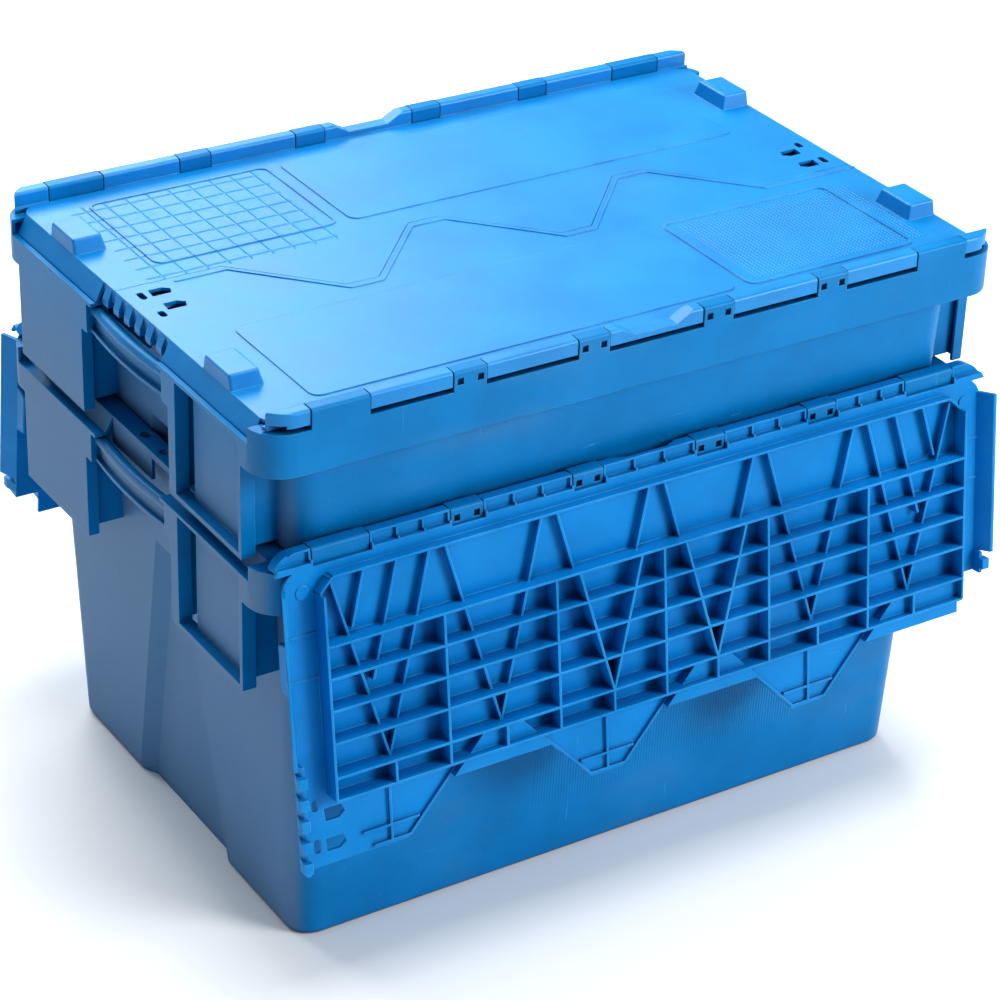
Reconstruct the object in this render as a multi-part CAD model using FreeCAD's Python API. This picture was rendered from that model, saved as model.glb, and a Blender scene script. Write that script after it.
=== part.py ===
import FreeCAD, Part
import math
import os

from FreeCAD import Vector

# Two nested attached-lid crates, millimetres.
# Frame: origin at the centre of the lower crate's base, +X along the length, -Y is the front
# long side, +Z up.  Every shape is first made in the frame of one crate, and the lid in its
# closed place, then copied to where it rests.

# ---- crate: overall sizes -------------------------------------------------------------
LENGTH = 600.0
WIDTH = 400.0
LID_PLANE = 323.0            # top face of a closed lid above the base of its crate
NEST_STEP = 102.0            # height of the upper crate's base above the lower one's
WALL = 2.5
FLOOR = 3.0
END_OVERHANG = 38.0          # rim beyond the base, at each short end
SIDE_OVERHANG = 24.0         # rim beyond the base, at each long side
NEST_GAP = 1.0               # air between the walls of two nested crates
BASE_CORNER = 20.0
BASE_EDGE = 5.0
DRAFT = (WALL + NEST_GAP) / NEST_STEP

# ---- rim ------------------------------------------------------------------------------
LID_SHEET = 2.5
LID_SEAT_GAP = 1.0
BAND_DROP = 35.0             # lower edge of the long rim band below the lid plane
RIM_CORNER = 25.0
STEP_DROP = 15.0             # shoulder that the lid skirt comes down to
STEP_FROM = 50.0             # the shoulder starts this far from the middle
RISER_RUN = 6.5              # the end rim slopes out by this much down to the shoulder
LEDGE_EDGE = 14.5            # edge of the rim top, in from the crate's end
LEDGE_HOLE_PITCH = 29.0
LEDGE_HOLE_R = 4.5
LEDGE_HOLE_INSET = 22.5

# ---- hand-hold and shrouds at the short ends -------------------------------------------
HAND_HALF = 66.0             # half width of the opening for the hand
SHROUD_EDGE = 31.5           # far edge of each shroud, in from the long side
FRAME_DEPTH = 8.0            # the framed shroud's panel lies this far behind its frame
FRAME_EDGE = 3.5             # width of the frame's far upright
POST_WIDTH = 10.0
SLOT_WIDTH = 12.0
LIP = 3.5
RETURN = 8.4
STAY_INSET = 6.0
GRIP_TOP = 19.5              # top of the grip's roll below the lid plane
GRIP_HEIGHT = 20.5
GRIP_ROLL_R = 4.5
GRIP_BULGE = 5.0
GRIP_WEB = 2.5
GRIP_DEPTH = 9.0
GRIP_BLOCK = 9.0             # length of the block at each end of the grip
HUNG_WALL = 22.0

# ---- recess in the end walls -------------------------------------------------------------
RECESS_DEPTH = 8.0
RECESS_TOP = 230.0
RECESS_FLOOR_HALF = (58.0, 5.0)      # half width of its floor, at the base and at its top
RECESS_SIDE_RUN = 14.0               # how far each side slopes out to the surface

# ---- hinges --------------------------------------------------------------------------------
AXIS_RISE = 5.5              # hinge axis above the lid plane
HANG_SET_BACK = 0.3          # a lid hanging straight down lies this far inside the long side
AXIS_INSET = AXIS_RISE + HANG_SET_BACK       # hinge axis, in from the crate's long side
KNUCKLE = 12.0
KNUCKLE_TOP = 2 * AXIS_RISE  # top of knuckles and ridges above the lid plane
KNUCKLE_ROUND = 2.5
WIRE_R = 2.0
WIRE_PLAY_CRATE = 0.05
WIRE_PLAY_LID = 0.08
END_KNUCKLE = (35.1, 77.7)           # from the crate's end
MIDDLE_KNUCKLES = ((134.8, 159.6), (38.5, 62.7))   # from the middle
KNUCKLE_GAP = 0.8
RIDGE_END = 5.0              # outermost lid ridge, in from the crate's end
RIDGE_CORNER = 21.0
RIDGE_WALL = 1.6
RIDGE_SET_BACK = 0.3         # inner face of a ridge, from the knuckles' inner face
WINDOW = 5.0                 # small windows in the narrow knuckles
WINDOW_INSET = 2.2
WINDOW_DEPTH = 3.2
POCKET_TOP = 2.2             # roof of the ridge pockets above the lid plane
POCKET = 20.0
DIP_HALF = (17.0, 32.0)
WIRE_ENDS = (34.5, 280.0)    # each wire's ends, from the middle
WIRE_END_GAP = 1.0

# ---- lid half ----------------------------------------------------------------------------
LID_END = 11.0               # lid edge, in from the crate's end
LID_CORNER = 14.0
SINK = 0.5                   # raised shapes start this far inside the sheet
RIB_SINK = 0.2               # and ribs this far
SKIRT_RUN = 7.0
SKIRT_DROP = 14.5
SKIRT_CORNER = 24.0          # the skirt starts this far in from the long side
SKIRT_GAP = 1.5              # and the rim's cut-out for it this much sooner
TAB = 8.0                    # outward tabs of the middle skirt
TAB_PITCH = 16.0
TAB_OUT = 3.5
SEAM_HALF = 33.0             # the seam swings this far each side of the middle
SEAM_FLAT = 26.0
SEAM_MARGIN = 36.0
SEAM_GAP = 0.6
SEAM_LINE = 5.5              # raised line beside the seam, its width and height
SEAM_LINE_WIDTH = 1.8
SEAM_LINE_RAISE = 0.7
SEAM_LINE_START = 42.0
TONGUE_TOP = 8.0             # tongue under the other half's teeth, below the lid plane
TONGUE_REACH = 7.0           # tongue ends this far short of the middle line
RIB = 1.8
DEEP = 16.5                  # lower edge of the deep ribs below the lid plane
SHALLOW = 8.5
TOOTH_RIB = 5.0
TOOTH_RIB_INSET = 2.4
HINGE_WALL_Y = 20.0          # wall of the rib field, in from the crate's long side
RIB_ROWS = tuple(WIDTH * share for share in (0.16625, 0.225, 0.28375, 0.34375, 0.4075, 0.45))
FIELD_END = 34.0             # end wall of the rib field, in from the crate's end
FIELD_CORNER = 10.0
CELLS = 6
VEE_HALF = 38.0
CHANNEL_RIBS = (WIDTH * 0.14875, WIDTH * 0.22875)     # beside the field, in from the long side
BOSS_R = 5.0
LOW_RELIEF = 3.2             # ribs and bosses over the crate's rim, below the lid plane
BOSS_OUT = 9.0
LUG_LENGTH = 25.0            # stacking lug
LUG_HEIGHT = 11.0
LUG_Y = (WIDTH * 0.16, WIDTH * 0.26)         # its sides, in from the long side
LUG_SLOPE = 3.0
LUG_ROUND = 1.8
PANEL_RAISE = 0.8
PANEL_Y = (WIDTH * 0.08, WIDTH * 0.36)       # raised panels, in from the long side
PANEL_X = (43.0, 379.0)      # large panel, from the left end of the front half
LABEL_X = (389.0, 535.0)     # label frame, from the same end
PANEL_CORNER = 8.0
PANEL_LINE = 1.8
TOOTH_BAR = (22.0, 12.0)     # bar across a tooth: half length, in from the tip ribs
END_SLANTS = ((25.0, 83.0), (50.0, 41.0))    # outer slanted ribs: offset and rise
SLOT_X = 12.5                # slots for a seal strap, in from the lid's end
SLOT_WIDE = 5.0
SLOT_Y = ((17.0, 6.0), (-14.0, 4.0))         # each slot's place and straight length
VENT_X = 27.0                # five-sided openings beside them
VENT_Y = (18.0, -5.0)
VENT = ((-8.0, -5.0), (6.0, -5.0), (8.0, 1.0), (3.0, 5.0), (-7.0, 5.0))

LEAN = 7.3                   # a hanging lid's free edge swings out by this angle
HANG_ANGLE = 270.0 - LEAN

# ---- worked out ------------------------------------------------------------------------------
HALF_L = LENGTH / 2
HALF_W = WIDTH / 2
BASE_X = HALF_L - END_OVERHANG
BASE_Y = HALF_W - SIDE_OVERHANG
RIM_TOP = LID_PLANE - LID_SHEET - LID_SEAT_GAP
STEP_Z = LID_PLANE - STEP_DROP
SHROUD_Z = RIM_TOP - NEST_STEP
AXIS_Y = HALF_W - AXIS_INSET
AXIS_Z = LID_PLANE + AXIS_RISE
SHROUD_Y = HALF_W - SHROUD_EDGE
TOOTH_PITCH = (LENGTH - 2 * SEAM_MARGIN) / 3
UP = Vector(0, 0, 1)


def box(x0, x1, y0, y1, z0, z1):
    """Box between two values along each axis, given in any order."""
    xa, xb = sorted((x0, x1))
    ya, yb = sorted((y0, y1))
    za, zb = sorted((z0, z1))
    return Part.makeBox(xb - xa, yb - ya, zb - za, Vector(xa, ya, za))


def prism(points, direction):
    """Solid from a closed outline of points, swept along a vector."""
    wire = Part.makePolygon(list(points) + [points[0]])
    return Part.Face(wire).extrude(direction)


def rounded_outline(half_x, half_y, radius, z):
    """Rectangle with round corners about the Z axis."""
    edges = []
    corners = ((1, 1, 0), (-1, 1, 90), (-1, -1, 180), (1, -1, 270))
    arcs = []
    for sign_x, sign_y, start in corners:
        centre = Vector(sign_x * (half_x - radius), sign_y * (half_y - radius), z)
        arcs.append(Part.makeCircle(radius, centre, UP, start, start + 90))
    for index, arc in enumerate(arcs):
        following = arcs[(index + 1) % 4]
        edges.append(arc)
        edges.append(Part.makeLine(arc.Vertexes[-1].Point, following.Vertexes[0].Point))
    return Part.Wire(Part.__sortEdges__(edges))


def rounded_block(half_x, half_y, radius, z0, z1):
    return Part.Face(rounded_outline(half_x, half_y, radius, z0)).extrude(Vector(0, 0, z1 - z0))


def tapered_block(half_x, half_y, radius, z0, z1):
    """Block whose sides lean out by the draft; the halves are those at the base, z = 0."""
    outlines = []
    for z in (z0, z1):
        outlines.append(rounded_outline(half_x + DRAFT * z, half_y + DRAFT * z, radius, z))
    return Part.makeLoft(outlines, True, True)


def both_ends(shape):
    """The shape and its copy turned half a turn about Z."""
    turned = shape.copy()
    turned.rotate(Vector(0, 0, 0), UP, 180)
    return [shape, turned]


def join(shapes):
    return shapes[0].multiFuse(list(shapes[1:])).removeSplitter()


# ---- crate body ------------------------------------------------------------------------------
def recess_wedge(thickness, z0):
    """Wedge of the end wall's recess at -X; thickness moves its faces into the crate."""
    sections = []
    for z in (z0, RECESS_TOP + thickness):
        share = z / RECESS_TOP
        floor_half = RECESS_FLOOR_HALF[0] + share * (RECESS_FLOOR_HALF[1] - RECESS_FLOOR_HALF[0])
        floor_half += thickness
        surface = BASE_X + DRAFT * z
        floor_x = -(surface - RECESS_DEPTH - thickness)
        reach = 2 * (RECESS_DEPTH + thickness)
        side = floor_half + reach * RECESS_SIDE_RUN / RECESS_DEPTH
        points = [Vector(floor_x, -floor_half, z), Vector(floor_x, floor_half, z),
                  Vector(floor_x - reach, side, z), Vector(floor_x - reach, -side, z)]
        sections.append(Part.makePolygon(points + [points[0]]))
    return Part.makeLoft(sections, True, True)


def tub():
    outer = tapered_block(BASE_X, BASE_Y, BASE_CORNER, 0.0, RIM_TOP)
    bottom = [edge for edge in outer.Edges if edge.BoundBox.ZMax < 0.01]
    outer = outer.makeFillet(BASE_EDGE, bottom)
    for wedge in both_ends(recess_wedge(0.0, -1.0)):
        outer = outer.cut(wedge)
    cavity = tapered_block(BASE_X - WALL, BASE_Y - WALL, BASE_CORNER - WALL, FLOOR, RIM_TOP + 1)
    for wedge in both_ends(recess_wedge(WALL, 0.0)):
        cavity = cavity.cut(wedge)
    return outer, cavity


def rim():
    """Top ledge all round, and the band along the long sides and round the corners."""
    ledge = rounded_block(HALF_L, HALF_W, RIM_CORNER, RIM_TOP - WALL, RIM_TOP)
    band = rounded_block(HALF_L, HALF_W, RIM_CORNER, LID_PLANE - BAND_DROP, RIM_TOP)
    band = band.cut(rounded_block(HALF_L - WALL, HALF_W - WALL, RIM_CORNER - WALL,
                                  LID_PLANE - BAND_DROP, RIM_TOP))
    corner_y = HALF_W - SKIRT_CORNER + SKIRT_GAP
    for sign in (-1, 1):
        beyond = sign * (HALF_L + 1)
        ledge = ledge.cut(box(sign * (HALF_L - LEDGE_EDGE), beyond,
                              -corner_y, corner_y, RIM_TOP - WALL, RIM_TOP))
        band = band.cut(box(sign * (HALF_L - RIM_CORNER - 5), beyond,
                            -SHROUD_Y, SHROUD_Y, 0, RIM_TOP))
        band = band.cut(box(sign * (HALF_L - RIM_CORNER), beyond,
                            -corner_y, corner_y, STEP_Z, RIM_TOP))
    return [ledge, band]


def shoulder(y0, y1):
    """Sloped end rim and the step under it, at -X between two values of Y."""
    edge = HALF_L - LEDGE_EDGE
    top, step = RIM_TOP, STEP_Z
    outline = [(edge - 3, top - WALL), (edge - 3, top), (edge, top), (edge + RISER_RUN, step),
               (HALF_L, step), (HALF_L, step - WALL), (edge + RISER_RUN - 1.5, step - WALL),
               (edge - 1.5, top - WALL)]
    points = [Vector(-x, y0, z) for x, z in outline]
    return prism(points, Vector(0, y1 - y0, 0))


def return_wall(y, z_top):
    """Narrow return along the upright edge of a shroud, at -X."""
    return box(-(HALF_L - RETURN), -HALF_L, y - WALL / 2, y + WALL / 2, SHROUD_Z, z_top)


def stay(y, reach, z_top):
    """Upright web that ties a shroud to the tub, at -X."""
    return box(-(BASE_X + WALL), -reach, y - WALL / 2, y + WALL / 2, SHROUD_Z + 2 * WALL, z_top)


def plain_shroud():
    near, far = HAND_HALF, SHROUD_Y
    top = STEP_Z - WALL
    middle = (near + far) / 2
    return [box(-HALF_L, -HALF_L + WALL, near, far, SHROUD_Z, top + WALL),
            return_wall(near + WALL / 2, top), return_wall(far - WALL / 2, top),
            stay(middle, HALF_L - WALL, top), stay(near + STAY_INSET, HALF_L - WALL, top),
            stay(far - STAY_INSET, HALF_L - WALL, top)]


def framed_shroud():
    near, far = -HAND_HALF, -SHROUD_Y
    top = STEP_Z - WALL
    panel_out = -HALF_L + FRAME_DEPTH
    panel_start = near - POST_WIDTH - SLOT_WIDTH
    middle = (near + far) / 2 - SLOT_WIDTH / 2
    return [box(-HALF_L, -HALF_L + WALL, near, near - POST_WIDTH, SHROUD_Z, top + WALL),
            return_wall(near - WALL / 2, top), return_wall(far + WALL / 2, top),
            box(-HALF_L, panel_out + WALL, near - POST_WIDTH + WALL, near - POST_WIDTH,
                SHROUD_Z, top),
            box(panel_out, panel_out + WALL, panel_start, far, SHROUD_Z, top),
            box(-HALF_L, panel_out + WALL, near, far, SHROUD_Z, SHROUD_Z + LIP),
            box(-HALF_L, panel_out + WALL, far + FRAME_EDGE, far, SHROUD_Z, top),
            stay(middle, -panel_out, top), stay(near - STAY_INSET, HALF_L - WALL, top),
            stay(far + STAY_INSET, -panel_out, top)]


def grip():
    """Curved hand grip at -X: a roll on top of a web with a lip below."""
    top = LID_PLANE - GRIP_TOP
    bottom = top - GRIP_HEIGHT
    radius = (GRIP_BULGE ** 2 + HAND_HALF ** 2) / (2 * GRIP_BULGE)
    centre_x = HALF_L - GRIP_ROLL_R
    axis_x = -(centre_x - radius)
    angle = math.degrees(math.asin((HAND_HALF - 1) / radius))

    def turned(outline):
        points = [Vector(-x, 0, z) for x, z in outline]
        face = Part.Face(Part.makePolygon(points + [points[0]]))
        face.rotate(Vector(axis_x, 0, 0), UP, -angle)
        return face.revolve(Vector(axis_x, 0, 0), UP, 2 * angle)

    web_in = centre_x - GRIP_WEB / 2
    web = turned([(web_in, bottom), (web_in + GRIP_WEB, bottom),
                  (web_in + GRIP_WEB, top - GRIP_ROLL_R), (web_in, top - GRIP_ROLL_R)])
    lip_in = centre_x - GRIP_DEPTH / 2
    lip = turned([(lip_in, bottom), (lip_in + GRIP_DEPTH, bottom),
                  (lip_in + GRIP_DEPTH, bottom + WALL), (lip_in, bottom + WALL)])
    circle = Part.makeCircle(GRIP_ROLL_R, Vector(-centre_x, 0, top - GRIP_ROLL_R), Vector(0, 1, 0))
    disc = Part.Face(Part.Wire(circle))
    disc.rotate(Vector(axis_x, 0, 0), UP, -angle)
    roll = disc.revolve(Vector(axis_x, 0, 0), UP, 2 * angle)
    blocks = []
    for sign in (-1, 1):
        blocks.append(box(-HALF_L, -(HALF_L - FRAME_DEPTH - GRIP_ROLL_R), sign * (HAND_HALF - GRIP_BLOCK),
                          sign * (HAND_HALF + WALL), bottom, STEP_Z - WALL))
    return [web, lip, roll] + blocks


def hand_hold():
    """Everything on the short end at -X below the rim."""
    edge = HALF_L - LEDGE_EDGE
    hung = box(-(edge - WALL), -edge, -10, STEP_FROM + 2, RIM_TOP - HUNG_WALL, RIM_TOP)
    flange = box(-(edge - WALL), -edge, -STEP_FROM, STEP_FROM, RIM_TOP - 2 * WALL, RIM_TOP)
    skirt_y = HALF_W - SKIRT_CORNER + SKIRT_GAP
    return ([shoulder(STEP_FROM, skirt_y), shoulder(-skirt_y, -STEP_FROM), hung, flange]
            + plain_shroud() + framed_shroud() + grip())


def knuckle_spans():
    """Crate knuckles as (start, end) along X, from the left end to the right."""
    positive = [tuple(sorted((HALF_L - END_KNUCKLE[0], HALF_L - END_KNUCKLE[1])))]
    positive += [tuple(sorted(span)) for span in MIDDLE_KNUCKLES]
    spans = []
    for start, end in positive:
        spans.append((start, end))
        spans.append((-end, -start))
    return sorted(spans)


def knuckle_bar(x0, x1, z0, y_out, y_in):
    """Bar along X beside the front edge, with round upper edges."""
    top = LID_PLANE + KNUCKLE_TOP
    solid = box(x0, x1, -y_out, -y_in, z0, top)
    upper = []
    for edge in solid.Edges:
        bounds = edge.BoundBox
        if bounds.ZMin > top - 0.01 and bounds.XLength > abs(x1 - x0) - 0.01:
            upper.append(edge)
    return solid.makeFillet(KNUCKLE_ROUND, upper)


def bores(play):
    """Blind bores for the two wires of the front side."""
    start, end = WIRE_ENDS[0] - WIRE_END_GAP, WIRE_ENDS[1] + WIRE_END_GAP
    right = Part.makeCylinder(WIRE_R + play, end - start, Vector(start, -AXIS_Y, AXIS_Z),
                              Vector(1, 0, 0))
    left = right.copy()
    left.translate(Vector(-start - end, 0, 0))
    return [left, right]


def crate_knuckles():
    """Knuckles of the front side."""
    bars = []
    for x0, x1 in knuckle_spans():
        bars.append(knuckle_bar(x0, x1, RIM_TOP - WALL, HALF_W, HALF_W - KNUCKLE))
    return bars


def knuckle_windows():
    """Small windows near both ends of each narrow knuckle of the front side."""
    windows = []
    for x0, x1 in knuckle_spans():
        if x1 - x0 > 1.2 * (MIDDLE_KNUCKLES[0][1] - MIDDLE_KNUCKLES[0][0]):
            continue
        for start in (x0 + WINDOW_INSET, x1 - WINDOW_INSET - WINDOW):
            windows.append(box(start, start + WINDOW, -HALF_W - 1, -HALF_W + WINDOW_DEPTH,
                               LID_PLANE + 1, LID_PLANE + 1 + WINDOW))
    return windows


def crate_body():
    outer, cavity = tub()
    pieces = [outer] + rim()
    for shape in hand_hold() + crate_knuckles():
        pieces += both_ends(shape)
    body = join(pieces).cut(cavity)
    cuts = []
    for shape in bores(WIRE_PLAY_CRATE) + knuckle_windows():
        cuts += both_ends(shape)
    hole_x = -(HALF_L - LEDGE_HOLE_INSET)
    for y in (-LEDGE_HOLE_PITCH / 2, LEDGE_HOLE_PITCH / 2):
        hole = Part.makeCylinder(LEDGE_HOLE_R, 3 * WALL, Vector(hole_x, y, RIM_TOP - 2 * WALL))
        cuts += both_ends(hole)
    for cut in cuts:
        body = body.cut(cut)
    return body.removeSplitter()


# ---- lid half, in the closed place of the front one ---------------------------------------------
def seam(shift):
    """Points of the zigzag seam from left to right, moved by shift along Y."""
    end = HALF_L - LID_END
    run = TOOTH_PITCH / 2 - SEAM_FLAT
    points = [Vector(-end, SEAM_HALF + shift, 0)]
    level = SEAM_HALF
    x = -0.75 * TOOTH_PITCH - SEAM_FLAT / 2 - run
    points.append(Vector(x, level + shift, 0))
    for _ in range(4):
        x += run
        level = -level
        points.append(Vector(x, level + shift, 0))
        x += SEAM_FLAT
        points.append(Vector(x, level + shift, 0))
    x += run
    points.append(Vector(x, -level + shift, 0))
    points.append(Vector(end, -level + shift, 0))
    return points


def lid_outline(shift):
    """Closed outline of the sheet of the front half, as a wire at z = 0."""
    end = HALF_L - LID_END
    edge_y = -(HALF_W - KNUCKLE - KNUCKLE_GAP)
    radius = LID_CORNER
    points = seam(shift)
    edges = []
    for first, second in zip(points, points[1:]):
        edges.append(Part.makeLine(first, second))
    edges.append(Part.makeLine(points[-1], Vector(end, edge_y + radius, 0)))
    edges.append(Part.makeCircle(radius, Vector(end - radius, edge_y + radius, 0), UP, 270, 360))
    edges.append(Part.makeLine(Vector(end - radius, edge_y, 0), Vector(-end + radius, edge_y, 0)))
    edges.append(Part.makeCircle(radius, Vector(-end + radius, edge_y + radius, 0), UP, 180, 270))
    edges.append(Part.makeLine(Vector(-end, edge_y + radius, 0), points[0]))
    return Part.Wire(Part.__sortEdges__(edges))


def sheet():
    face = Part.Face(lid_outline(-SEAM_GAP / 2))
    solid = face.extrude(Vector(0, 0, LID_SHEET))
    solid.translate(Vector(0, 0, LID_PLANE - LID_SHEET))
    return solid


def ridge_spans():
    """Lid ridges between the crate's knuckles."""
    spans = []
    knuckles = knuckle_spans()
    last = HALF_L - RIDGE_END
    starts = [-last] + [end for _, end in knuckles]
    ends = [start for start, _ in knuckles] + [last]
    for start, end in zip(starts, ends):
        gap_in = 0.0 if start == -last else KNUCKLE_GAP
        gap_out = 0.0 if end == last else KNUCKLE_GAP
        spans.append((start + gap_in, end - gap_out))
    return spans


def ridges():
    """Ridge bars of the front side, their pockets and the finger dip in the middle one."""
    bars, pockets = [], []
    y_out = HALF_W - KNUCKLE_GAP
    y_in = HALF_W - KNUCKLE + RIDGE_SET_BACK
    corner = rounded_block(HALF_L - RIDGE_END, y_out, RIDGE_CORNER, 0, 2 * LID_PLANE)
    for x0, x1 in ridge_spans():
        bars.append(knuckle_bar(x0, x1, LID_PLANE, y_out, y_in).common(corner))
        strip = box(x0, x1, -(AXIS_Y - 2.5), -(y_in - 2.5), LID_PLANE - LID_SHEET, LID_PLANE)
        bars.append(strip.common(corner))
        reach = (x1 - x0) - 2 * RIDGE_WALL
        count = max(1, round(reach / (POCKET + RIDGE_WALL)))
        size = (reach - (count - 1) * RIDGE_WALL) / count
        for index in range(count):
            start = x0 + RIDGE_WALL + index * (size + RIDGE_WALL)
            pockets.append(box(start, start + size, -(y_out - RIDGE_WALL), -(y_in + RIDGE_WALL),
                               LID_PLANE - LID_SHEET - 1, LID_PLANE + POCKET_TOP))
    floor = LID_PLANE + POCKET_TOP + RIDGE_WALL
    top = LID_PLANE + KNUCKLE_TOP + 1
    dip = [Vector(-DIP_HALF[0], 0, floor), Vector(DIP_HALF[0], 0, floor),
           Vector(DIP_HALF[1], 0, top), Vector(-DIP_HALF[1], 0, top)]
    dip_cut = prism(dip, Vector(0, -HALF_W, 0))
    return bars, pockets, dip_cut


def skirt(side, y0, y1):
    """Sloped end skirt; side is -1 for the left end."""
    end = HALF_L - LID_END
    low = LID_PLANE - SKIRT_DROP
    outline = [(end - WALL, LID_PLANE - LID_SHEET), (end - WALL, LID_PLANE), (end, LID_PLANE),
               (end + SKIRT_RUN, low), (end + SKIRT_RUN - WALL, low)]
    points = [Vector(side * x, y0, z) for x, z in outline]
    return prism(points, Vector(0, y1 - y0, 0))


def middle_skirt(side, y0, y1):
    """Upright end skirt with outward tabs, between two values of Y."""
    end = HALF_L - LID_END
    low = LID_PLANE - SKIRT_DROP
    shapes = [box(side * (end - WALL), side * end, y0, y1, low + 4, LID_PLANE)]
    for index in range(int((y1 - y0) / TAB_PITCH)):
        y = y1 - TAB_PITCH * (index + 0.5)
        profile = [(end - WALL, LID_PLANE - 2), (end, LID_PLANE - 1), (end + TAB_OUT, low + 5),
                   (end + TAB_OUT, low), (end - WALL, low)]
        points = [Vector(side * x, y - TAB / 2, z) for x, z in profile]
        shapes.append(prism(points, Vector(0, TAB, 0)))
    return shapes


def lug(side):
    """Stacking lug, flush with the lid's end, with eased upper edges."""
    end = HALF_L - LID_END
    y0, y1 = -(HALF_W - LUG_Y[0]), -(HALF_W - LUG_Y[1])
    low, high = [], []
    for x, y, inner, low_y in ((end - LUG_LENGTH, y0, 1, 1), (end, y0, 0, 1),
                               (end, y1, 0, -1), (end - LUG_LENGTH, y1, 1, -1)):
        low.append(Vector(side * x, y, LID_PLANE - SINK))
        high.append(Vector(side * (x + LUG_SLOPE * inner), y + LUG_SLOPE * low_y,
                           LID_PLANE + LUG_HEIGHT))
    solid = Part.makeLoft([Part.makePolygon(low + [low[0]]), Part.makePolygon(high + [high[0]])],
                          True, True)
    upper = [edge for edge in solid.Edges if edge.BoundBox.ZMax > LID_PLANE + LUG_HEIGHT - 0.01]
    return solid.makeFillet(LUG_ROUND, upper)


def raised_panel(x0, x1, thin):
    """Raised field on the lid; a thin one is only a frame line."""
    y0, y1 = -(HALF_W - PANEL_Y[0]), -(HALF_W - PANEL_Y[1])
    half_x, half_y = (x1 - x0) / 2, (y1 - y0) / 2
    low, high = LID_PLANE - SINK, LID_PLANE + PANEL_RAISE
    solid = rounded_block(half_x, half_y, PANEL_CORNER, low, high)
    if thin:
        solid = solid.cut(rounded_block(half_x - PANEL_LINE, half_y - PANEL_LINE,
                                        PANEL_CORNER - PANEL_LINE, low, high))
    solid.translate(Vector((x0 + x1) / 2, (y0 + y1) / 2, 0))
    return solid


def rib_line(x0, y0, x1, y1, depth):
    """Upright rib below the sheet between two points."""
    start, end = Vector(x0, y0, 0), Vector(x1, y1, 0)
    along = (end - start).normalize()
    across = Vector(-along.y, along.x, 0) * (RIB / 2)
    z = LID_PLANE - depth
    points = [start + across, end + across, end - across, start - across]
    points = [Vector(point.x, point.y, z) for point in points]
    return prism(points, Vector(0, 0, depth - LID_SHEET + RIB_SINK))


def rib_field():
    """Walls, rows, cross ribs and diagonal ribs under the sheet."""
    hinge_y = -(HALF_W - HINGE_WALL_Y)
    rows = [-(HALF_W - row) for row in RIB_ROWS]
    far = HALF_L - FIELD_END
    first, last, before = rows[0], rows[-1], rows[-2]
    near = far - FIELD_CORNER
    ribs = [rib_line(-near, hinge_y, near, hinge_y, SHALLOW + 2)]
    for side in (-1, 1):
        corner_y = hinge_y + FIELD_CORNER
        ribs.append(rib_line(side * near, hinge_y, side * far, corner_y, SHALLOW + 2))
        ribs.append(rib_line(side * far, corner_y, side * far, last, DEEP))
    for y in rows:
        ribs.append(rib_line(-far, y, far, y, DEEP))
    for side in (-1, 1):
        for row in CHANNEL_RIBS:
            y = -(HALF_W - row)
            ribs.append(rib_line(side * far, y, side * (HALF_L - LID_END), y, LOW_RELIEF))
        foot = Vector(side * (far + BOSS_OUT), hinge_y + BOSS_OUT, LID_PLANE - LOW_RELIEF)
        ribs.append(Part.makeCylinder(BOSS_R, LOW_RELIEF - LID_SHEET + RIB_SINK, foot))
    cell = 2 * far / CELLS
    for index in range(1, CELLS):
        x = -far + index * cell
        ribs.append(rib_line(x, first, x, last, DEEP))
    apex = TOOTH_PITCH / 4
    for number in (-5, -3, -1, 1, 3, 5):
        centre = number * apex
        depth = DEEP if abs(number) == 1 else SHALLOW
        for side in (-1, 1):
            top_x = centre + side * VEE_HALF
            share = (first - hinge_y) / (before - hinge_y)
            middle_x = top_x + share * (centre - top_x)
            ribs.append(rib_line(top_x, hinge_y, middle_x, first, SHALLOW))
            ribs.append(rib_line(middle_x, first, centre, before, depth))
        ribs.append(rib_line(centre, before, centre, last, DEEP))
    slope = VEE_HALF / (before - hinge_y)
    for side in (-1, 1):
        for top, length in END_SLANTS:
            start = side * (5 * apex - VEE_HALF + top)
            ribs.append(rib_line(start, hinge_y, start + side * slope * length,
                                 hinge_y + length, SHALLOW))
    return ribs


def zone_above_seam(y_far, z0, z1, shift):
    """Prism over the area beyond the seam, as far as y_far."""
    points = seam(shift)
    outline = [Vector(point.x, point.y, z0) for point in points]
    outline[0].x -= 20
    outline[-1].x += 20
    outline += [Vector(outline[-1].x, y_far, z0), Vector(outline[0].x, y_far, z0)]
    return prism(outline, Vector(0, 0, z1 - z0))


def tongues():
    """Lower sheet that carries the other half's teeth, with its risers along the seam."""
    end = HALF_L - FIELD_END
    start_y = -SEAM_HALF - 4
    low = LID_PLANE - TONGUE_TOP - LID_SHEET
    slab = box(-end, end, start_y, -TONGUE_REACH, low, LID_PLANE - TONGUE_TOP)
    riser = box(-end, end, start_y, -TONGUE_REACH, low, LID_PLANE - LID_SHEET + RIB_SINK)
    beyond_riser = zone_above_seam(HALF_W, low - 1, LID_PLANE + 1, -SEAM_GAP / 2 - WALL)
    beyond_seam = zone_above_seam(HALF_W, low - 1, LID_PLANE + 1, -SEAM_GAP / 2)
    return [slab.common(beyond_riser), riser.common(beyond_riser).cut(beyond_seam)]


def flank_x(y):
    """Half width of a tooth at this Y."""
    run = TOOTH_PITCH / 2 - SEAM_FLAT
    return SEAM_FLAT / 2 + run * (SEAM_HALF - y) / (2 * SEAM_HALF)


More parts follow.
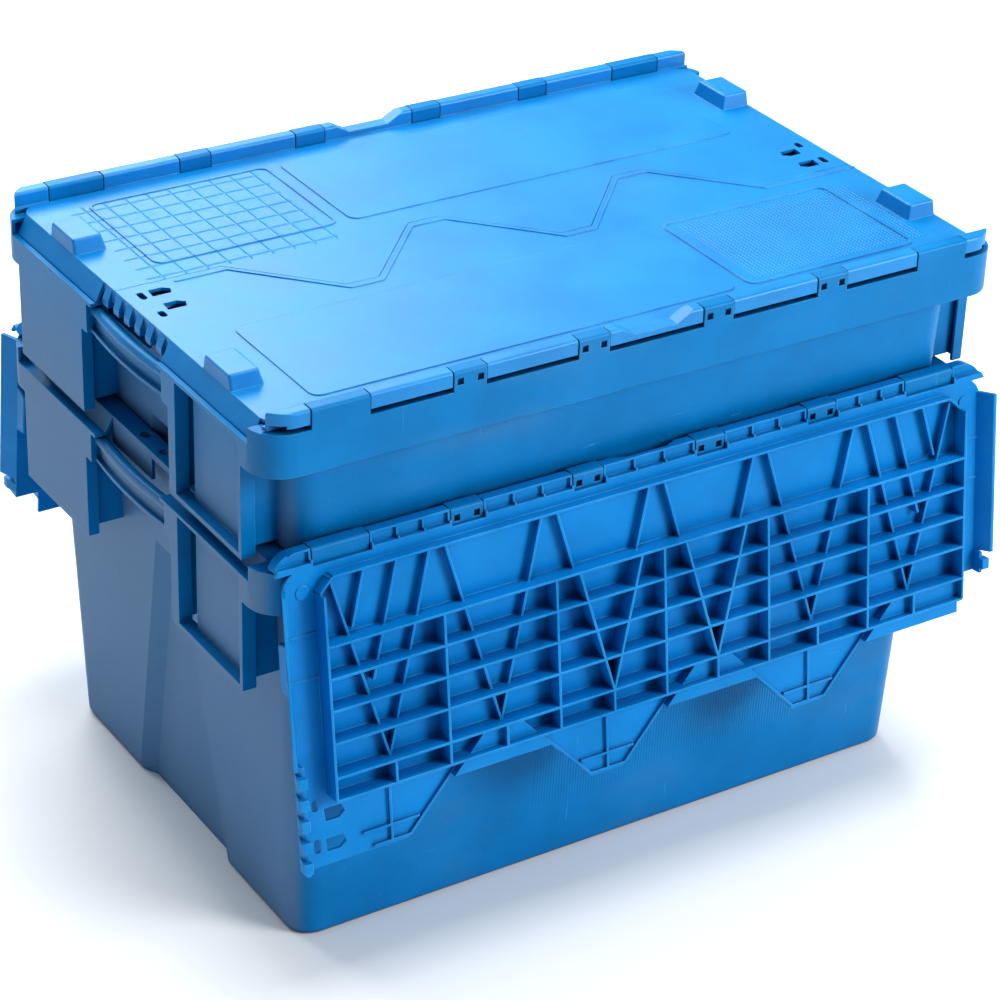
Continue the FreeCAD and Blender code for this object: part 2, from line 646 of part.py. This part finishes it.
def tooth_ribs():
    """Shallow ribs below the teeth."""
    last = -(HALF_W - RIB_ROWS[-1])
    tip_y = SEAM_HALF - 4
    bar_half, bar_inset = TOOTH_BAR
    ribs = []
    for number in (-5, -1, 3):
        x = number * TOOTH_PITCH / 4
        ribs.append(rib_line(x, last, x, tip_y, TOOTH_RIB))
        ribs.append(rib_line(x - bar_half, tip_y - bar_inset, x + bar_half, tip_y - bar_inset,
                             TOOTH_RIB))
        for side in (-1, 1):
            tip_x = flank_x(tip_y) - TOOTH_RIB_INSET
            ribs.append(rib_line(x, tip_y, x + side * tip_x, tip_y, TOOTH_RIB))
            if number == -5 and side < 0:
                continue
            foot_x = flank_x(last) - TOOTH_RIB_INSET
            ribs.append(rib_line(x + side * tip_x, tip_y, x + side * foot_x, last, TOOTH_RIB))
    return ribs


def seal_slots():
    """Openings for a seal strap at the left end of the half."""
    left = -(HALF_L - LID_END)
    low, depth = LID_PLANE - 4, 5
    half = SLOT_WIDE / 2
    cuts = []
    for y, length in SLOT_Y:
        x = left + SLOT_X
        slot = box(x - half, x + half, y - length / 2, y + length / 2, low, low + depth)
        for offset in (-length / 2, length / 2):
            slot = slot.fuse(Part.makeCylinder(half, depth, Vector(x, y + offset, low)))
        cuts.append(slot)
    for y in VENT_Y:
        points = [Vector(left + VENT_X + dx, y + dy, low) for dx, dy in VENT]
        cuts.append(prism(points, Vector(0, 0, depth)))
    return cuts


def seam_line():
    """Thin raised line that follows the seam on the front halves."""
    near, far = seam(-SEAM_LINE), seam(-SEAM_LINE - SEAM_LINE_WIDTH)
    near[0].x += SEAM_LINE_START
    far[0].x += SEAM_LINE_START
    outline = [Vector(point.x, point.y, LID_PLANE - SINK) for point in near + far[::-1]]
    return prism(outline, Vector(0, 0, SINK + SEAM_LINE_RAISE))


def lid_half(line):
    """Front half in its closed place, with or without the line beside its seam."""
    end = HALF_L - LID_END
    corner_y = -(HALF_W - SKIRT_CORNER)
    bars, pockets, dip_cut = ridges()
    upper = [sheet()] + bars
    upper += [skirt(-1, corner_y, -STEP_FROM), skirt(1, corner_y, -STEP_FROM)]
    upper += middle_skirt(-1, -STEP_FROM, SEAM_HALF - SEAM_GAP / 2)
    upper += middle_skirt(1, -STEP_FROM, -SEAM_HALF - SEAM_GAP / 2)
    upper += [lug(-1), lug(1)]
    if line:
        upper.append(seam_line())
    upper.append(raised_panel(PANEL_X[0] - end, PANEL_X[1] - end, False))
    upper.append(raised_panel(LABEL_X[0] - end, LABEL_X[1] - end, True))
    shell = join(upper)
    field = join(rib_field())
    teeth_space = zone_above_seam(HALF_W, LID_PLANE - TONGUE_TOP, LID_PLANE + 20,
                                  -SEAM_GAP / 2 - 0.01)
    field = field.cut(teeth_space)
    solid = join([shell, field] + tongues() + tooth_ribs())
    for cut in pockets + seal_slots() + [dip_cut] + bores(WIRE_PLAY_LID):
        solid = solid.cut(cut)
    return solid.removeSplitter()


def hinge_wire(side):
    """Straight hinge wire of the front side; side is -1 for the left one."""
    start, end = WIRE_ENDS
    wire = Part.makeCylinder(WIRE_R, end - start, Vector(start, -AXIS_Y, AXIS_Z), Vector(1, 0, 0))
    if side < 0:
        wire.translate(Vector(-start - end, 0, 0))
    return wire


# ---- assembly --------------------------------------------------------------------------------------
def placed(shape, rise, turn):
    """Copy of a shape lifted by rise and turned about Z through the crate's centre."""
    copy = shape.copy()
    copy.rotate(Vector(0, 0, 0), UP, turn)
    copy.translate(Vector(0, 0, rise))
    return copy


def opened(shape, angle):
    """Copy of the front lid half turned open about its hinge axis."""
    copy = shape.copy()
    copy.rotate(Vector(0, -AXIS_Y, AXIS_Z), Vector(1, 0, 0), angle)
    return copy


def main():
    os.makedirs("parts", exist_ok=True)
    body = crate_body()
    lids = {"front": lid_half(True), "rear": lid_half(False)}
    wires = {"left": hinge_wire(-1), "right": hinge_wire(1)}
    nodes = {}
    for crate, rise, angle in (("lower", 0.0, HANG_ANGLE), ("upper", NEST_STEP, 0.0)):
        nodes[crate + "_crate_body"] = placed(body, rise, 0)
        for side, turn in (("front", 0), ("rear", 180)):
            nodes[crate + "_" + side + "_lid"] = placed(opened(lids[side], angle), rise, turn)
            for end, wire in wires.items():
                nodes[crate + "_" + side + "_" + end + "_wire"] = placed(wire, rise, turn)
    for name, shape in nodes.items():
        solids = shape.Solids
        if len(solids) != 1 or not shape.isValid():
            raise ValueError(name + " is not one valid solid: " + str(len(solids)))
        solids[0].exportStep("parts/" + name + ".step")
        print(name, round(shape.Volume / 1000, 1), "cm3")


main()
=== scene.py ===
"""Finishes, moulded surface details, light and camera for a nested pair of attached-lid crates."""

import math

import bmesh
import bpy
from bpy.props import FloatProperty, FloatVectorProperty, PointerProperty
from mathutils import Matrix, Vector

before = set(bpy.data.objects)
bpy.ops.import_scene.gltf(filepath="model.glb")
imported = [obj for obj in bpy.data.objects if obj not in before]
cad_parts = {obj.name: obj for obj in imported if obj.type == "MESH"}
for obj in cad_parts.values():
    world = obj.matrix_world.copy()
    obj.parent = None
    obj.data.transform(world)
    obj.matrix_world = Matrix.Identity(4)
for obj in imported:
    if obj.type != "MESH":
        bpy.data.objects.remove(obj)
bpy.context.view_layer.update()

bl_info = {
    "name": "Nested Crate Pair",
    "version": (1, 0, 0),
    "blender": (4, 5, 0),
    "location": "3D View > Sidebar > Crates",
    "description": "Finishes and dresses two nested attached-lid crates",
    "category": "Object",
}

CRATES = ("lower", "upper")
SIDES = ("front", "rear")
WIRE_ENDS = ("left", "right")
MM = 0.001
BUMP_DEPTH = 0.00022         # metres of relief for a height of 1
WIRE_BUMP_DEPTH = 0.00004
WALL_GLOSS = 0.16            # specular level of the crates and of the hanging lids
LID_GLOSS = 0.4
LID_BLOOM = 0.12
# Strength of the painted sheen on the short ends of the crate bodies.
END_SHEEN = 0.85
PIP_PITCH = 3.2 * MM
PIP_FIELD = ((0.112, -0.160), (0.262, -0.062))
WAFFLE_PITCH = 17 * MM
WAFFLE_FIELD = ((-0.262, 0.034), (-0.112, 0.166))
WAFFLE_SHARPNESS = 60.0
TOOL_LINE_PITCH = 2.4 * MM
TOOL_LINE_PATCH = ((-0.07, -0.4), (0.16, 0.4))
LIGHTS = (("back_softbox", (0.0, 2.3, 2.2), (2.6, 1.6), "back_light"),
          ("key", (1.9, -2.6, 1.7), (1.3, 1.3), "key_light"),
          ("top", (0.2, 0.0, 3.0), (1.6, 1.6), "top_light"))
LIGHTS_AIM = (0, 0, 0.25)
SKY_COLOUR = (0.84, 0.93, 1, 1)


# ---- sizes and colours -------------------------------------------------------------------
class PlasticSettings(bpy.types.PropertyGroup):
    """Colour and wear of the moulded plastic."""

    crate_colour: FloatVectorProperty(
        name="Crate colour", description="Base colour of the crate bodies",
        subtype="COLOR", size=3, min=0, max=1, default=(0.0, 0.185, 0.455))
    # Painted light: a lighter, more cyan copy of the crate colour, standing in for the top light
    # on the lids; the hanging lower lids get it too.
    lid_painted_light_colour: FloatVectorProperty(
        name="Lid colour", description="Base colour of the lid halves",
        subtype="COLOR", size=3, min=0, max=1, default=(0.0, 0.225, 0.570))
    # Used for the chalky bloom patches and also for the painted sheen on the short ends.
    bloom_and_sheen_colour: FloatVectorProperty(
        name="Bloom colour", description="Chalky bloom of handled plastic",
        subtype="COLOR", size=3, min=0, max=1, default=(0.13, 0.21, 0.33))
    wear_colour: FloatVectorProperty(
        name="Wear colour", description="Whitened plastic along rubbed edges",
        subtype="COLOR", size=3, min=0, max=1, default=(0.20, 0.58, 0.86))
    # Painted shade: the deep colour that corners and enclosed places are darkened toward, standing
    # in for the shade that falls there.
    painted_shade_colour: FloatVectorProperty(
        name="Hollow colour", description="Deep tone of corners and enclosed places",
        subtype="COLOR", size=3, min=0, max=1, default=(0.0, 0.035, 0.115))
    painted_shade_reach: FloatProperty(
        name="Hollow reach", description="How far from a corner the deep tone reaches",
        unit="LENGTH", min=0, max=0.1, default=0.014)
    roughness: FloatProperty(
        name="Roughness", description="Mean roughness of the moulded surface",
        min=0.05, max=1, default=0.36)
    grain_size: FloatProperty(
        name="Grain size", description="Size of the fine spark-eroded grain",
        unit="LENGTH", min=0.0001, max=0.01, default=0.0008)
    edge_round: FloatProperty(
        name="Edge rounding", description="Radius that the light sees on moulded edges",
        unit="LENGTH", min=0, max=0.005, default=0.0009)


class SteelSettings(bpy.types.PropertyGroup):
    """Finish of the hinge wires."""

    colour: FloatVectorProperty(
        name="Colour", description="Colour of the drawn steel wire",
        subtype="COLOR", size=3, min=0, max=1, default=(0.55, 0.56, 0.58))
    roughness: FloatProperty(
        name="Roughness", description="Roughness of the drawn wire",
        min=0.05, max=1, default=0.32)


class StageSettings(bpy.types.PropertyGroup):
    """Floor, lights and camera."""

    floor_colour: FloatVectorProperty(
        name="Floor colour", description="Plain pale floor",
        subtype="COLOR", size=3, min=0, max=1, default=(0.86, 0.87, 0.88))
    floor_size: FloatProperty(
        name="Floor size", description="Side of the square floor",
        unit="LENGTH", min=1, max=100, default=14.0)
    sky: FloatProperty(
        name="Sky", description="Strength of the even light from all round",
        min=0, max=10, default=0.36)
    back_light: FloatProperty(
        name="Back softbox", description="Power of the softbox behind the crates",
        unit="POWER", min=0, default=75.0)
    key_light: FloatProperty(
        name="Key light", description="Power of the light on the front long side",
        unit="POWER", min=0, default=84.0)
    top_light: FloatProperty(
        name="Top light", description="Power of the light above the lid",
        unit="POWER", min=0, default=52.0)
    azimuth: FloatProperty(
        name="Azimuth", description="Camera's place around the crates, from the front",
        subtype="ANGLE", default=math.radians(-32.98))
    elevation: FloatProperty(
        name="Elevation", description="Camera's height angle above the floor",
        subtype="ANGLE", default=math.radians(29.65))
    roll: FloatProperty(
        name="Roll", description="Camera's turn about its own line of sight",
        subtype="ANGLE", default=math.radians(-2.0))
    distance: FloatProperty(
        name="Distance", description="Camera's distance from the point it aims at",
        unit="LENGTH", min=0.1, default=2.4062)
    aim_height: FloatProperty(
        name="Aim height", description="Height of the point the camera aims at",
        unit="LENGTH", default=0.220)
    side_step: FloatProperty(
        name="Side step", description="Camera moved sideways, without turning",
        unit="LENGTH", default=0.0070)
    rise: FloatProperty(
        name="Rise", description="Camera moved up its own view, without turning",
        unit="LENGTH", default=-0.0193)
    lens: FloatProperty(
        name="Lens", description="Focal length on a 36 mm wide sensor",
        unit="CAMERA", min=1, default=115.77)


# ---- shader maths ---------------------------------------------------------------------------
class Value:
    """A socket, or a number, that Math nodes can be built on with ordinary operators."""

    def __init__(self, tree, socket):
        self.tree = tree
        self.socket = socket

    def math(self, operation, *others, clamp=False):
        node = self.tree.nodes.new("ShaderNodeMath")
        node.operation = operation
        node.use_clamp = clamp
        for index, item in enumerate((self,) + others):
            if isinstance(item, Value):
                self.tree.links.new(item.socket, node.inputs[index])
            else:
                node.inputs[index].default_value = item
        return Value(self.tree, node.outputs[0])

    def __add__(self, other):
        return self.math("ADD", other)

    def __mul__(self, other):
        return self.math("MULTIPLY", other)

    def __sub__(self, other):
        return self.math("SUBTRACT", other)

    def __rsub__(self, other):
        return (self * -1.0) + other

    def __truediv__(self, other):
        return self.math("DIVIDE", other)

    def __pow__(self, other):
        return self.math("POWER", other)

    __radd__ = __add__
    __rmul__ = __mul__

    def limited(self):
        return self.math("ADD", 0.0, clamp=True)

    def step(self, low, high):
        """Smooth 0 to 1 as the value goes from low to high."""
        node = self.tree.nodes.new("ShaderNodeMapRange")
        node.interpolation_type = "SMOOTHSTEP"
        self.tree.links.new(self.socket, node.inputs["Value"])
        node.inputs["From Min"].default_value = low
        node.inputs["From Max"].default_value = high
        return Value(self.tree, node.outputs["Result"])


class Finish:
    """A new material and the ways to add nodes to it."""

    def __init__(self, name):
        self.material = bpy.data.materials.new(name)
        self.material.use_nodes = True
        self.tree = self.material.node_tree
        self.tree.nodes.clear()
        self.shader = self.node("ShaderNodeBsdfPrincipled")
        output = self.tree.nodes.new("ShaderNodeOutputMaterial")
        self.tree.links.new(self.shader.outputs[0], output.inputs["Surface"])
        self.place = self.node("ShaderNodeTexCoord").outputs["Object"]

    def node(self, kind, settings=None, **sockets):
        """A node of this kind; settings are set first, then sockets get values or links."""
        node = self.tree.nodes.new(kind)
        for name, value in (settings or {}).items():
            setattr(node, name, value)
        for name, value in sockets.items():
            self.feed(node, name.replace("_", " "), value)
        return node

    def feed(self, node, name, value):
        socket = node.inputs[name]
        if isinstance(value, Value):
            value = value.socket
        if isinstance(value, bpy.types.NodeSocket):
            self.tree.links.new(value, socket)
        else:
            socket.default_value = value

    def noise(self, scale, stretch=(1, 1, 1), detail=3.0, roughness=0.5):
        mapping = self.node("ShaderNodeMapping", Vector=self.place, Scale=stretch)
        node = self.node("ShaderNodeTexNoise", Vector=mapping.outputs[0], Scale=scale,
                         Detail=detail, Roughness=roughness)
        return Value(self.tree, node.outputs["Fac"])

    def blend(self, mask, low, high):
        """Colour between two colours, by a mask."""
        node = self.tree.nodes.new("ShaderNodeMix")
        node.data_type = "RGBA"
        self.tree.links.new(mask.socket, node.inputs[0])
        for socket, colour in ((node.inputs[6], low), (node.inputs[7], high)):
            if isinstance(colour, bpy.types.NodeSocket):
                self.tree.links.new(colour, socket)
            else:
                socket.default_value = (*colour, 1.0)
        return node.outputs[2]

    def axis(self, vector, name):
        parts = self.node("ShaderNodeSeparateXYZ", Vector=vector)
        return Value(self.tree, parts.outputs[name])

    def edge_mask(self, radius):
        """1 on edges rounded by radius, 0 on flat faces, and the rounded normal itself."""
        rounded = self.node("ShaderNodeBevel", {"samples": 4}, Radius=radius)
        surface = self.node("ShaderNodeNewGeometry")
        product = self.node("ShaderNodeVectorMath", {"operation": "DOT_PRODUCT"})
        self.tree.links.new(rounded.outputs[0], product.inputs[0])
        self.tree.links.new(surface.outputs["Normal"], product.inputs[1])
        alike = Value(self.tree, product.outputs["Value"])
        return (1 - alike).step(0.01, 0.22), rounded.outputs[0]

    def openness(self, reach):
        """1 in the open, towards 0 in corners and narrow places; the mask for painted shade."""
        node = self.node("ShaderNodeAmbientOcclusion", {"samples": 6}, Distance=reach)
        return Value(self.tree, node.outputs["AO"])

    def bump(self, height, depth, normal=None):
        node = self.node("ShaderNodeBump", Height=height, Distance=depth, Strength=1.0)
        if normal is not None:
            self.tree.links.new(normal, node.inputs["Normal"])
        return node.outputs[0]


def plastic(name, colour, looks, bloom=0.2, gloss=LID_GLOSS, end_sheen=0.0, relief=None):
    """Grained polypropylene with bloom, rubbed edges and scratches, with painted shade in corners
    and an optional painted sheen on the short ends.

    The end strength argument sets a painted sheen on the short ends, a light greyish blue mixed in
    where faces point along X, strongest low down.
    relief is a function that adds a moulded pattern's height to the surface.
    """
    finish = Finish(name)
    broad = finish.noise(5.0, detail=4.0)
    cloud = finish.noise(16.0, detail=5.0, roughness=0.62)
    flow = finish.noise(9.0, stretch=(1.0, 1.0, 4.0), detail=4.0)
    grain = finish.noise(1 / looks.grain_size, detail=2.0)
    scratch_a = finish.noise(30.0, stretch=(0.5, 9.0, 9.0), detail=6.0, roughness=0.7)
    scratch_b = finish.noise(34.0, stretch=(9.0, 0.6, 9.0), detail=6.0, roughness=0.7)
    scratch_c = finish.noise(26.0, stretch=(7.0, 7.0, 0.4), detail=6.0, roughness=0.7)
    marks = scratch_a.step(0.66, 0.72).math("MAXIMUM", scratch_b.step(0.66, 0.72))
    marks = marks.math("MAXIMUM", scratch_c.step(0.67, 0.73))
    edge, rounded = finish.edge_mask(looks.edge_round)
    rubbed = (edge * cloud.step(0.36, 0.62)).limited()
    chalk_and_sheen = (broad.step(0.42, 0.72) * flow.step(0.35, 0.75) * bloom).limited()
    # Painted sheen: faces pointing along X are lightened toward the bloom colour, strongest low
    # down, standing in for a reflection.
    if end_sheen:
        surface = finish.node("ShaderNodeNewGeometry")
        facing = finish.axis(surface.outputs["Normal"], "X").math("ABSOLUTE").step(0.55, 0.9)
        height = finish.axis(finish.place, "Z")
        low = 1 - height.step(0.30, 0.42)
        painted_sheen = facing * (low * 0.85 + 0.15) * (cloud * 0.5 + 0.6) * end_sheen
        chalk_and_sheen = chalk_and_sheen.math("MAXIMUM", painted_sheen.limited())
    deep = tuple(part * 0.84 for part in colour)
    base = finish.blend(cloud.step(0.30, 0.70), deep, colour)
    base = finish.blend(chalk_and_sheen, base, looks.bloom_and_sheen_colour)
    # Painted shade: an ambient-occlusion mask darkens corners, recesses and narrow gaps toward the
    # shade colour.
    base = finish.blend(finish.openness(looks.painted_shade_reach).step(0.05, 0.62),
                        looks.painted_shade_colour, base)
    base = finish.blend((marks * 0.22).limited(), base, looks.wear_colour)
    base = finish.blend((rubbed * 0.60).limited(), base, looks.wear_colour)
    finish.feed(finish.shader, "Base Color", base)
    rough = (cloud * 0.16) + (chalk_and_sheen * 0.20) + (marks * 0.12) + (looks.roughness - 0.08)
    finish.feed(finish.shader, "Roughness", rough.limited())
    finish.feed(finish.shader, "Specular IOR Level", gloss)
    height = (grain * 0.35) + (flow * 0.8) - (marks * 0.25)
    if relief:
        height = height + relief(finish)
    finish.feed(finish.shader, "Normal", finish.bump(height, BUMP_DEPTH, rounded))
    return finish.material


def inside(finish, low, high):
    """1 inside a box given by its low and high X and Y, with soft sides."""
    mask = None
    for axis, start, end in (("X", low[0], high[0]), ("Y", low[1], high[1])):
        along = finish.axis(finish.place, axis)
        part = along.step(start - MM, start + MM) * (1 - along.step(end - MM, end + MM))
        mask = part if mask is None else mask * part
    return mask


def waves(finish, axis, pitch):
    """0 to 1 and back over each pitch along an axis."""
    along = finish.axis(finish.place, axis)
    return (along * (2 * math.pi / pitch)).math("SINE") * 0.5 + 0.5


def grip_relief(finish):
    """Fine pips on the label field of a front half."""
    pips = waves(finish, "X", PIP_PITCH) * waves(finish, "Y", PIP_PITCH)
    return pips * inside(finish, *PIP_FIELD) * 2.2


def waffle_relief(finish):
    """Square grid of fine lines on the label field of a rear half."""
    lines = waves(finish, "X", WAFFLE_PITCH) ** WAFFLE_SHARPNESS
    lines = lines.math("MAXIMUM", waves(finish, "Y", WAFFLE_PITCH) ** WAFFLE_SHARPNESS)
    return lines * inside(finish, *WAFFLE_FIELD) * 2.5


def wall_relief(finish):
    """Faint upright tool lines on the lower part of the long walls."""
    lines = waves(finish, "X", TOOL_LINE_PITCH)
    height = finish.axis(finish.place, "Z")
    band = height.step(0.035, 0.075) * (1 - height.step(0.15, 0.20))
    patch = inside(finish, *TOOL_LINE_PATCH)
    return lines * band * patch * 1.3


def steel(name, looks):
    """Drawn wire with fine lines along its length and a few dull spots."""
    finish = Finish(name)
    lines = finish.noise(900.0, stretch=(0.02, 1.0, 1.0), detail=2.0)
    spots = finish.noise(120.0, detail=4.0)
    dull = tuple(part * 0.62 for part in looks.colour)
    base = finish.blend(spots.step(0.52, 0.70), looks.colour, dull)
    finish.feed(finish.shader, "Base Color", base)
    finish.feed(finish.shader, "Metallic", 1.0)
    rough = (lines * 0.14) + (spots.step(0.5, 0.75) * 0.22) + (looks.roughness - 0.07)
    finish.feed(finish.shader, "Roughness", rough.limited())
    finish.feed(finish.shader, "Normal", finish.bump(lines, WIRE_BUMP_DEPTH))
    return finish.material


def clothe(node, material):
    """Gives a CAD node one material in every slot."""
    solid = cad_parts[node]
    if not solid.material_slots:
        solid.data.materials.append(material)
    for slot in solid.material_slots:
        slot.material = material


# ---- operators ----------------------------------------------------------------------------
class CRATES_OT_bodies(bpy.types.Operator):
    """Finish both crate bodies."""

    bl_idname = "crates.bodies"
    bl_label = "Crate bodies"

    def execute(self, context):
        looks = context.scene.crate_plastic
        for crate in CRATES:
            material = plastic(crate + "_crate_plastic", looks.crate_colour, looks,
                               gloss=WALL_GLOSS, end_sheen=END_SHEEN, relief=wall_relief)
            clothe(crate + "_crate_body", material)
        return {"FINISHED"}


class CRATES_OT_lids(bpy.types.Operator):
    """Finish the four lid halves."""

    bl_idname = "crates.lids"
    bl_label = "Lid halves"

    def execute(self, context):
        looks = context.scene.crate_plastic
        reliefs = {"front": grip_relief, "rear": waffle_relief}
        for crate, gloss in (("lower", WALL_GLOSS), ("upper", LID_GLOSS)):
            for side in SIDES:
                name = crate + "_" + side + "_lid"
                relief = reliefs[side] if crate == "upper" else None
                # Lid halves take the lighter lid colour, which is painted light from above.
                clothe(name, plastic(name + "_plastic", looks.lid_painted_light_colour, looks, bloom=LID_BLOOM,
                                     gloss=gloss, relief=relief))
        return {"FINISHED"}


class CRATES_OT_hinge_wires(bpy.types.Operator):
    """Finish the hinge wires."""

    bl_idname = "crates.hinge_wires"
    bl_label = "Hinge wires"

    def execute(self, context):
        material = steel("drawn_wire", context.scene.crate_steel)
        for crate in CRATES:
            for side in SIDES:
                for end in WIRE_ENDS:
                    clothe("_".join((crate, side, end, "wire")), material)
        return {"FINISHED"}


# ---- stage -----------------------------------------------------------------------------------
def camera_matrix(stage):
    """Camera's place and turn from its azimuth, elevation, roll and side steps."""
    azimuth, elevation, roll = stage.azimuth, stage.elevation, stage.roll
    back = Vector((math.sin(azimuth) * math.cos(elevation),
                   -math.cos(azimuth) * math.cos(elevation), math.sin(elevation)))
    right = Vector((math.cos(azimuth), math.sin(azimuth), 0))
    up = back.cross(right)
    place = back * stage.distance + right * stage.side_step + up * stage.rise
    place.z += stage.aim_height
    rolled_right = math.cos(roll) * right - math.sin(roll) * up
    rolled_up = math.sin(roll) * right + math.cos(roll) * up
    turn = Matrix((rolled_right, rolled_up, back)).transposed()
    return Matrix.Translation(place) @ turn.to_4x4()


def area_light(name, place, aim, size, power):
    data = bpy.data.lights.new(name, "AREA")
    data.shape = "RECTANGLE"
    data.size, data.size_y = size
    data.energy = power
    light = bpy.data.objects.new(name, data)
    light.location = place
    light.rotation_euler = (Vector(aim) - Vector(place)).to_track_quat("-Z", "Y").to_euler()
    bpy.context.scene.collection.objects.link(light)


class CRATES_OT_stage(bpy.types.Operator):
    """Lay the floor and set the lights and the camera."""

    bl_idname = "crates.stage"
    bl_label = "Stage"

    def execute(self, context):
        stage = context.scene.crate_stage
        mesh = bpy.data.meshes.new("floor")
        shape = bmesh.new()
        bmesh.ops.create_grid(shape, x_segments=1, y_segments=1, size=stage.floor_size / 2)
        shape.to_mesh(mesh)
        shape.free()
        floor = bpy.data.objects.new("floor", mesh)
        context.scene.collection.objects.link(floor)
        finish = Finish("floor_paint")
        tint = tuple(part * 0.985 for part in stage.floor_colour)
        cloud = finish.noise(1.5, detail=2.0)
        colour = finish.blend(cloud.step(0.3, 0.7), tint, stage.floor_colour)
        finish.feed(finish.shader, "Base Color", colour)
        finish.feed(finish.shader, "Roughness", 0.85)
        floor.data.materials.append(finish.material)
        world = bpy.data.worlds.new("studio")
        world.use_nodes = True
        background = world.node_tree.nodes["Background"]
        background.inputs["Color"].default_value = SKY_COLOUR
        background.inputs["Strength"].default_value = stage.sky
        context.scene.world = world
        for name, place, size, setting in LIGHTS:
            area_light(name, place, LIGHTS_AIM, size, getattr(stage, setting))
        data = bpy.data.cameras.new("camera")
        data.sensor_width = 36.0
        data.lens = stage.lens
        data.clip_start = 0.05
        data.clip_end = 50.0
        camera = bpy.data.objects.new("camera", data)
        camera.matrix_world = camera_matrix(stage)
        context.scene.collection.objects.link(camera)
        context.scene.camera = camera
        context.scene.view_settings.view_transform = "Standard"
        context.scene.view_settings.look = "Medium High Contrast"
        return {"FINISHED"}


# ---- panel and registration ---------------------------------------------------------------
OPERATORS = (CRATES_OT_bodies, CRATES_OT_lids, CRATES_OT_hinge_wires, CRATES_OT_stage)
SETTINGS = (("crate_plastic", PlasticSettings), ("crate_steel", SteelSettings),
            ("crate_stage", StageSettings))


class CRATES_PT_panel(bpy.types.Panel):
    """Buttons for every piece and the stage."""

    bl_idname = "CRATES_PT_panel"
    bl_label = "Nested crates"
    bl_space_type = "VIEW_3D"
    bl_region_type = "UI"
    bl_category = "Crates"

    def draw(self, context):
        for operator in OPERATORS:
            self.layout.operator(operator.bl_idname)
        for attribute, group in SETTINGS:
            box = self.layout.box()
            for name in group.__annotations__:
                box.prop(getattr(context.scene, attribute), name)


def register():
    for _, group in SETTINGS:
        bpy.utils.register_class(group)
    for attribute, group in SETTINGS:
        setattr(bpy.types.Scene, attribute, PointerProperty(type=group))
    for operator in OPERATORS:
        bpy.utils.register_class(operator)
    bpy.utils.register_class(CRATES_PT_panel)


def unregister():
    bpy.utils.unregister_class(CRATES_PT_panel)
    for operator in reversed(OPERATORS):
        bpy.utils.unregister_class(operator)
    for attribute, group in reversed(SETTINGS):
        delattr(bpy.types.Scene, attribute)
        bpy.utils.unregister_class(group)


def main():
    register()
    bpy.ops.crates.bodies()
    bpy.ops.crates.lids()
    bpy.ops.crates.hinge_wires()
    bpy.ops.crates.stage()


if __name__ == "__main__":
    main()
